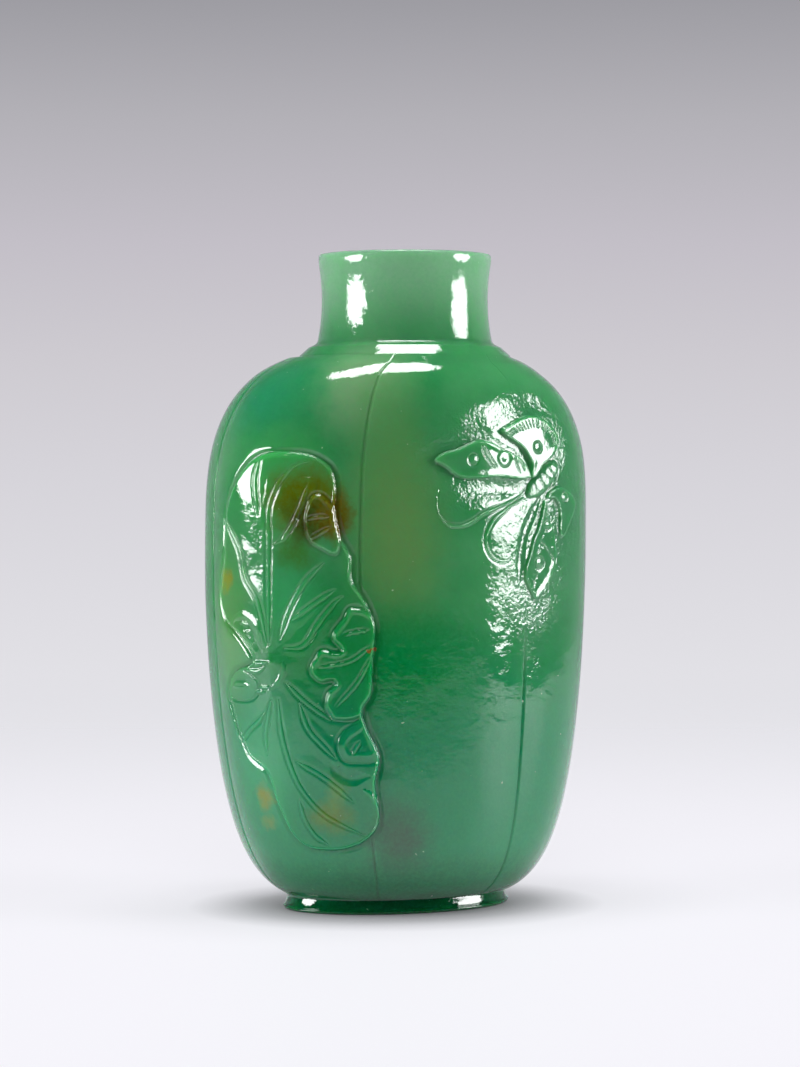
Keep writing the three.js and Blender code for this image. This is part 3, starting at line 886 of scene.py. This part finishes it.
# Jadeite, carved and polished: a tight mass of fine crystals, so light sinks in a millimetre or two
# and comes back green, under a hard glassy polish that still ripples a little.
stone = {
    "ior": 1.66,
    "roughness": 0.03,
    "body": "#468c59",
    "deep": "#2a7d48",
    "cloudSpread": (0.35, 0.65),
    # deeper towards the foot, and paler towards the lip, a painted brightening for light through the
    # thin neck: colour, levels, strength
    "levels": [("#00784e", 29, 14, 0.97), ("#84b890", 49.5, 57, 0.9)],
    # fine crystals, a sugary mottling and a few white flecks: size, colour, spread, strength
    "crystals": [(0.3, "#30a060", 0.35, 0.75, 0.15), (0.7, "#e4f4dc", 0.74, 0.8, 0.5)],
    "crystalNoise": (2, 0.6),  # detail, roughness
    "depthOfLight": (0.0009, 0.0026, 0.001),
    "clouds": (9, 5, 0.55),  # size in mm, detail, roughness
    "wander": (1.6, 4, 0.6),  # frays the tints' edges
    "wanderReach": 2.4,
    "ripples": (1.8, 5, 0.5),  # what the polish leaves
    "rippleHeight": (0.045, 0.12),
    "grains": (0.35, 2, 0.5),
    "grainHeight": (0.006, 0.055),  # where well polished, and beside the carving
    "lineWidth": 0.14,
    "lineDepth": 0.02,
}
# Places of another colour, the last two of them painted shade: around, level, half sizes in mm, colour,
# strength, softness.
tints = [
    (-9.5, 46.5, (4, 6, 5), "#769771", 0.85, 0.9),
    (-6, 40, (3.6, 6, 9), "#50884e", 0.9, 0.9),
    (-4.9, 33, (4.2, 6, 8), "#5e874c", 0.9, 0.9),
    (-4.8, 22.6, (6, 6, 4.6), "#007a3c", 1, 0.9),
    (-12, 24.6, (5, 5, 5), "#007a38", 0.95, 0.9),
    (-19, 45.5, (5.5, 6, 4.5), "#1d7c55", 0.9, 0.9),
    (-14, 27.5, (3, 4, 4), "#3c9c62", 0.7, 0.9),
    (-20, 26, (2.6, 4, 7), "#5f9454", 0.7, 0.9),
    (-14.8, 37.6, (4.5, 4, 5), "#3f9c50", 0.7, 0.9),
    (11.5, 33, (6, 6, 12), "#3f7f55", 0.8, 0.9),
    (-13.2, 31.8, (1.8, 2, 1.6), "#3c6c20", 0.8, 0.8),
    (-17, 14, (4, 4, 6), "#2c9464", 0.8, 0.9),
    (-12.6, 36.2, (3.7, 3, 3.2), "#566400", 1, 0.6),
    (-11.9, 34.4, (2.6, 2.6, 2), "#3a3a00", 0.9, 0.7),
    (-10.2, 34.9, (1.7, 2, 2.3), "#5c5000", 1, 0.5),
    (-20.1, 29.3, (0.8, 0.9, 1.1), "#8a8a20", 0.8, 0.9),
    (-17.8, 10.7, (0.9, 1, 1.2), "#7c7a1c", 0.85, 0.9),
    (-17.9, 8.4, (0.9, 1, 0.8), "#72803a", 0.6, 0.9),
    (-11.6, 9.2, (2, 1.6, 1.5), "#5c7020", 0.85, 0.9),
    (-11, 11.2, (0.9, 1.2, 1.6), "#6c8434", 0.6, 0.9),
    (-5.4, 7.2, (2.8, 2.4, 3.4), "#38463a", 0.75, 0.95),
    (-7.2, 23.2, (0.22, 0.4, 0.22), "#8a4a1c", 0.9, 0.5),
    # painted shade: dark bands all round over the lowest part of the body and over the foot, where
    # little light reaches
    (0, 2.6, (28, 28, 2.8), "#005c38", 0.75, 0.9),
    (0, 0.4, (26, 26, 1.6), "#00401c", 0.8, 0.8),
]


def jadeite():
    material, tree = newMaterial("jadeite, carved and polished")
    coords = addNode(tree, "TexCoord").outputs["Object"]
    clouds = noise(tree, coords, *stone["clouds"]).outputs["Fac"]
    cloudShare = ranged(tree, clouds, *stone["cloudSpread"], soft=False)
    shade = blend(tree, colour(stone["deep"]), colour(stone["body"]), cloudShare)
    upwards = partsOf(tree, coords)["Z"]
    for tint, start, end, strength in stone["levels"]:
        amount = ranged(tree, upwards, start * mm, end * mm, high=strength)
        shade = blend(tree, shade, colour(tint), amount)

    wander = noise(tree, coords, *stone["wander"]).outputs["Color"]
    centred = worked(tree, "SUBTRACT", wander, (0.5, 0.5, 0.5), kind="VectorMath")
    spread = (stone["wanderReach"] * mm,) * 3
    pushed = worked(tree, "MULTIPLY_ADD", centred, spread, coords, kind="VectorMath")
    for around, level, half, tint, strength, softness in tints:
        point = bodyPoints(np.array([around]), np.array([level]), 0, 0)[0]
        placed = addNode(tree, "Mapping", {"vector_type": "TEXTURE"}, {
            "Vector": pushed,
            "Location": Vector(point) * mm,
            "Rotation": (0, 0, float(angleAt(np.array([around]))[0])),
            "Scale": Vector(half) * mm,
        })
        reach = addNode(tree, "VectorMath", {"operation": "LENGTH"}, {
            "Vector": placed.outputs[0],
        }).outputs["Value"]
        amount = ranged(tree, reach, 1 + softness / 2, 1 - softness, high=strength)
        shade = blend(tree, shade, colour(tint), amount)
    for size, tint, start, end, strength in stone["crystals"]:
        crystals = noise(tree, coords, size, *stone["crystalNoise"]).outputs["Fac"]
        amount = ranged(tree, crystals, start, end, high=strength, soft=False)
        shade = blend(tree, shade, colour(tint), amount)

    uneven = addNode(tree, "Attribute", {"attribute_name": "uneven"}).outputs["Fac"]
    rippleHeight, grainHeight = (
        ranged(tree, uneven, 0, 1, polished * mm, rough * mm, soft=False)
        for polished, rough in (stone["rippleHeight"], stone["grainHeight"])
    )
    rippled = addNode(tree, "Bump", inputs={
        "Height": noise(tree, coords, *stone["ripples"]).outputs["Fac"], "Distance": rippleHeight,
    })
    polish = addNode(tree, "Bump", inputs={
        "Height": noise(tree, coords, *stone["grains"]).outputs["Fac"], "Distance": grainHeight,
        "Normal": rippled.outputs["Normal"],
    })
    lines = addNode(tree, "Attribute", {"attribute_name": "lines"}).outputs["Fac"]
    engraved = addNode(tree, "Bump", inputs={
        "Height": ranged(tree, worked(tree, "ABSOLUTE", lines), 0, stone["lineWidth"] / 2),
        "Distance": stone["lineDepth"] * mm,
        "Normal": polish.outputs["Normal"],
    })
    surface = addNode(tree, "BsdfPrincipled", inputs={
        "Base Color": shade,
        "Roughness": stone["roughness"],
        "IOR": stone["ior"],
        "Subsurface Weight": 1,
        "Subsurface Radius": stone["depthOfLight"],
        "Subsurface Scale": 1,
        "Normal": engraved.outputs["Normal"],
    })
    addNode(tree, "OutputMaterial", inputs={"Surface": surface.outputs["BSDF"]})
    return material


bottle.data.materials.append(jadeite())
print("jadeite made")


# The studio: a pale table, two softboxes at the sides, one overhead and a soft fill in front.
studio = {
    "tableFront": 218,  # mm from the bottle to the table's front edge
    "tableSide": 245,
    "tableBack": 400,
    "tableColour": "#8c8b90",
    # painted shade: the table's colour where its front is dimmed, seen only in the polish
    "tableFrontShade": "#58585c",
    "tableRoughness": 0.6,
    "tableShine": 0.2,
    "tableGlow": 0.58,
    "tableGlowColour": "#fbfaff",
    "tableDims": (112, 74),  # mm in front of the bottle over which the glow weakens, a painted falloff of light seen only in the polish
    "tableDimmed": 0.4,
    "tableShade": 7,  # mm within which a painted shadow darkens the table's glow beside the bottle
    "tableShadeRays": 8,
    "tableFade": (30, 350),  # mm behind the bottle over which the table melts into the backdrop
    "sideBoxes": [  # name, azimuth from the front, distance, width, height, lower edge, watts
        ("left softbox", -92, 420, 236, 150, 10, 1.35),
        ("right softbox", 59, 420, 216, 190, 14, 1.5),
    ],
    "topBox": (350, 220, 150, 1),  # height above the table, width, depth, watts
    "fill": (500, 400, 1.9),  # distance, width, watts
}


def tableMaterial():
    # a painted glow that keeps the table evenly pale, darkened beside the bottle into a painted soft
    # shadow
    material, tree = newMaterial("pale table, with painted glow and shadow")
    away = partsFromView(tree, addNode(tree, "TexCoord").outputs["Object"])["Y"]
    near, far = studio["tableFade"]
    faded = ranged(tree, away, near * mm, far * mm)
    dimFrom, dimTo = studio["tableDims"]
    dimmed = ranged(tree, away, -dimFrom * mm, -dimTo * mm, low=studio["tableDimmed"])
    # seen straight on it is even, and only the polish mirrors its dimmer front, painted shade in its
    # colour and glow
    sight = addNode(tree, "LightPath").outputs["Is Camera Ray"]
    lit = worked(tree, "MAXIMUM", dimmed, sight)
    shaded = addNode(tree, "AmbientOcclusion", {"samples": studio["tableShadeRays"]}, {
        "Distance": studio["tableShade"] * mm,
    })
    glow = worked(tree, "MULTIPLY", lit, shaded.outputs["AO"])
    matt = addNode(tree, "BsdfPrincipled", inputs={
        "Base Color": blend(tree, colour(studio["tableFrontShade"]), colour(studio["tableColour"]), lit),
        "Roughness": studio["tableRoughness"],
        "Specular IOR Level": studio["tableShine"],
        "Emission Color": colour(studio["tableGlowColour"]),
        "Emission Strength": worked(tree, "MULTIPLY", glow, studio["tableGlow"]),
    })
    clear = addNode(tree, "BsdfTransparent")
    mixed = addNode(tree, "MixShader", inputs={
        "Fac": faded, 1: matt.outputs[0], 2: clear.outputs[0],
    })
    addNode(tree, "OutputMaterial", inputs={"Surface": mixed.outputs[0]})
    return material


def makeTable():
    bm = bmesh.new()
    front, back = studio["tableFront"], studio["tableBack"]
    bmesh.ops.create_grid(bm, x_segments=1, y_segments=1, size=mm)
    bmesh.ops.scale(bm, vec=(studio["tableSide"], (front + back) / 2, 1), verts=bm.verts[:])
    bmesh.ops.translate(bm, vec=(0, (back - front) / 2 * mm, 0), verts=bm.verts[:])
    bmesh.ops.rotate(
        bm, verts=bm.verts[:], matrix=Matrix.Rotation(math.radians(view["azimuth"]), 3, "Z")
    )
    mesh = bpy.data.meshes.new("table")
    bm.to_mesh(mesh)
    bm.free()
    table = addObject("table", mesh)
    table.data.materials.append(tableMaterial())


def makeSoftbox(name, place, aim, width, tall, watts):
    lamp = bpy.data.lights.new(name, "AREA")
    lamp.shape = "ELLIPSE"
    lamp.size = width * mm
    lamp.size_y = tall * mm
    lamp.energy = watts
    box = addObject(name, lamp)
    box.location = Vector(place) * mm
    box.rotation_euler = (Vector(aim) - Vector(place)).to_track_quat("-Z", "Y").to_euler()
    box.visible_camera = False
    return box


def placeAround(azimuth, away, level):
    turn = math.radians(azimuth)
    return away * math.sin(turn), -away * math.cos(turn), level


def makeLights():
    for name, azimuth, away, width, tall, low, watts in studio["sideBoxes"]:
        middle = low + tall / 2
        place = placeAround(azimuth, away, middle)
        makeSoftbox(name, place, (0, 0, middle), width, tall, watts)
    rise, width, depth, watts = studio["topBox"]
    makeSoftbox("top softbox", (0, 0, rise), (0, 0, 0), width, depth, watts)
    away, width, watts = studio["fill"]
    place = placeAround(view["azimuth"], away, away)
    fill = makeSoftbox("front fill", place, (0, 0, 0), width, width, watts)
    fill.visible_glossy = False


# The backdrop's colour by elevation in degrees, and the room that the polish mirrors, lit behind
# the bottle and dim in front.
backdrop = [
    (-9, "#f3f2f7"), (-7, "#eeeef3"), (-5.6, "#e8e8ed"), (-3.4, "#e1e0e5"), (0, "#d6d4da"),
    (2.1, "#cecbd1"), (4.3, "#c3bfc7"), (6.5, "#b3b1b7"), (8.6, "#9e9da3"),
]
backdropReach = 10
room = {
    "colour": "#f4f4ff",
    "towardsBack": (-0.1, 0.9),  # where the light grows, and its strength at both ends
    "backLight": (0.006, 0.5),
    "towardsTop": (0.05, 0.6),
    "topLight": (1, 0.12),
}


def makeWorld():
    world = bpy.data.worlds.new("studio")
    bpy.context.scene.world = world
    world.use_nodes = True
    tree = world.node_tree
    tree.nodes.clear()
    heading = addNode(tree, "TexCoord").outputs["Generated"]
    reach = math.sin(math.radians(backdropReach))
    ramp = addNode(tree, "ValToRGB", inputs={
        "Fac": ranged(tree, partsOf(tree, heading)["Z"], -reach, reach, soft=False),
    })
    stops = ramp.color_ramp.elements
    while len(stops) > 1:
        stops.remove(stops[-1])
    for i, (elevation, code) in enumerate(backdrop):
        place = (math.sin(math.radians(elevation)) / reach + 1) / 2
        stop = stops[0] if i == 0 else stops.new(place)
        stop.position = place
        stop.color = colour(code)
    seen = addNode(tree, "Background", inputs={"Color": ramp.outputs["Color"]})
    parts = partsFromView(tree, heading)
    back = ranged(tree, parts["Y"], *room["towardsBack"], *room["backLight"])
    top = ranged(tree, parts["Z"], *room["towardsTop"], *room["topLight"])
    mirrored = addNode(tree, "Background", inputs={
        "Color": colour(room["colour"]), "Strength": worked(tree, "MULTIPLY", back, top),
    })
    sight = addNode(tree, "LightPath").outputs["Is Camera Ray"]
    mixed = addNode(tree, "MixShader", inputs={
        "Fac": sight, 1: mirrored.outputs[0], 2: seen.outputs[0],
    })
    addNode(tree, "OutputWorld", inputs={"Surface": mixed.outputs[0]})


makeTable()
makeLights()
makeWorld()
bpy.context.scene.view_settings.view_transform = "Standard"
print("studio ready")
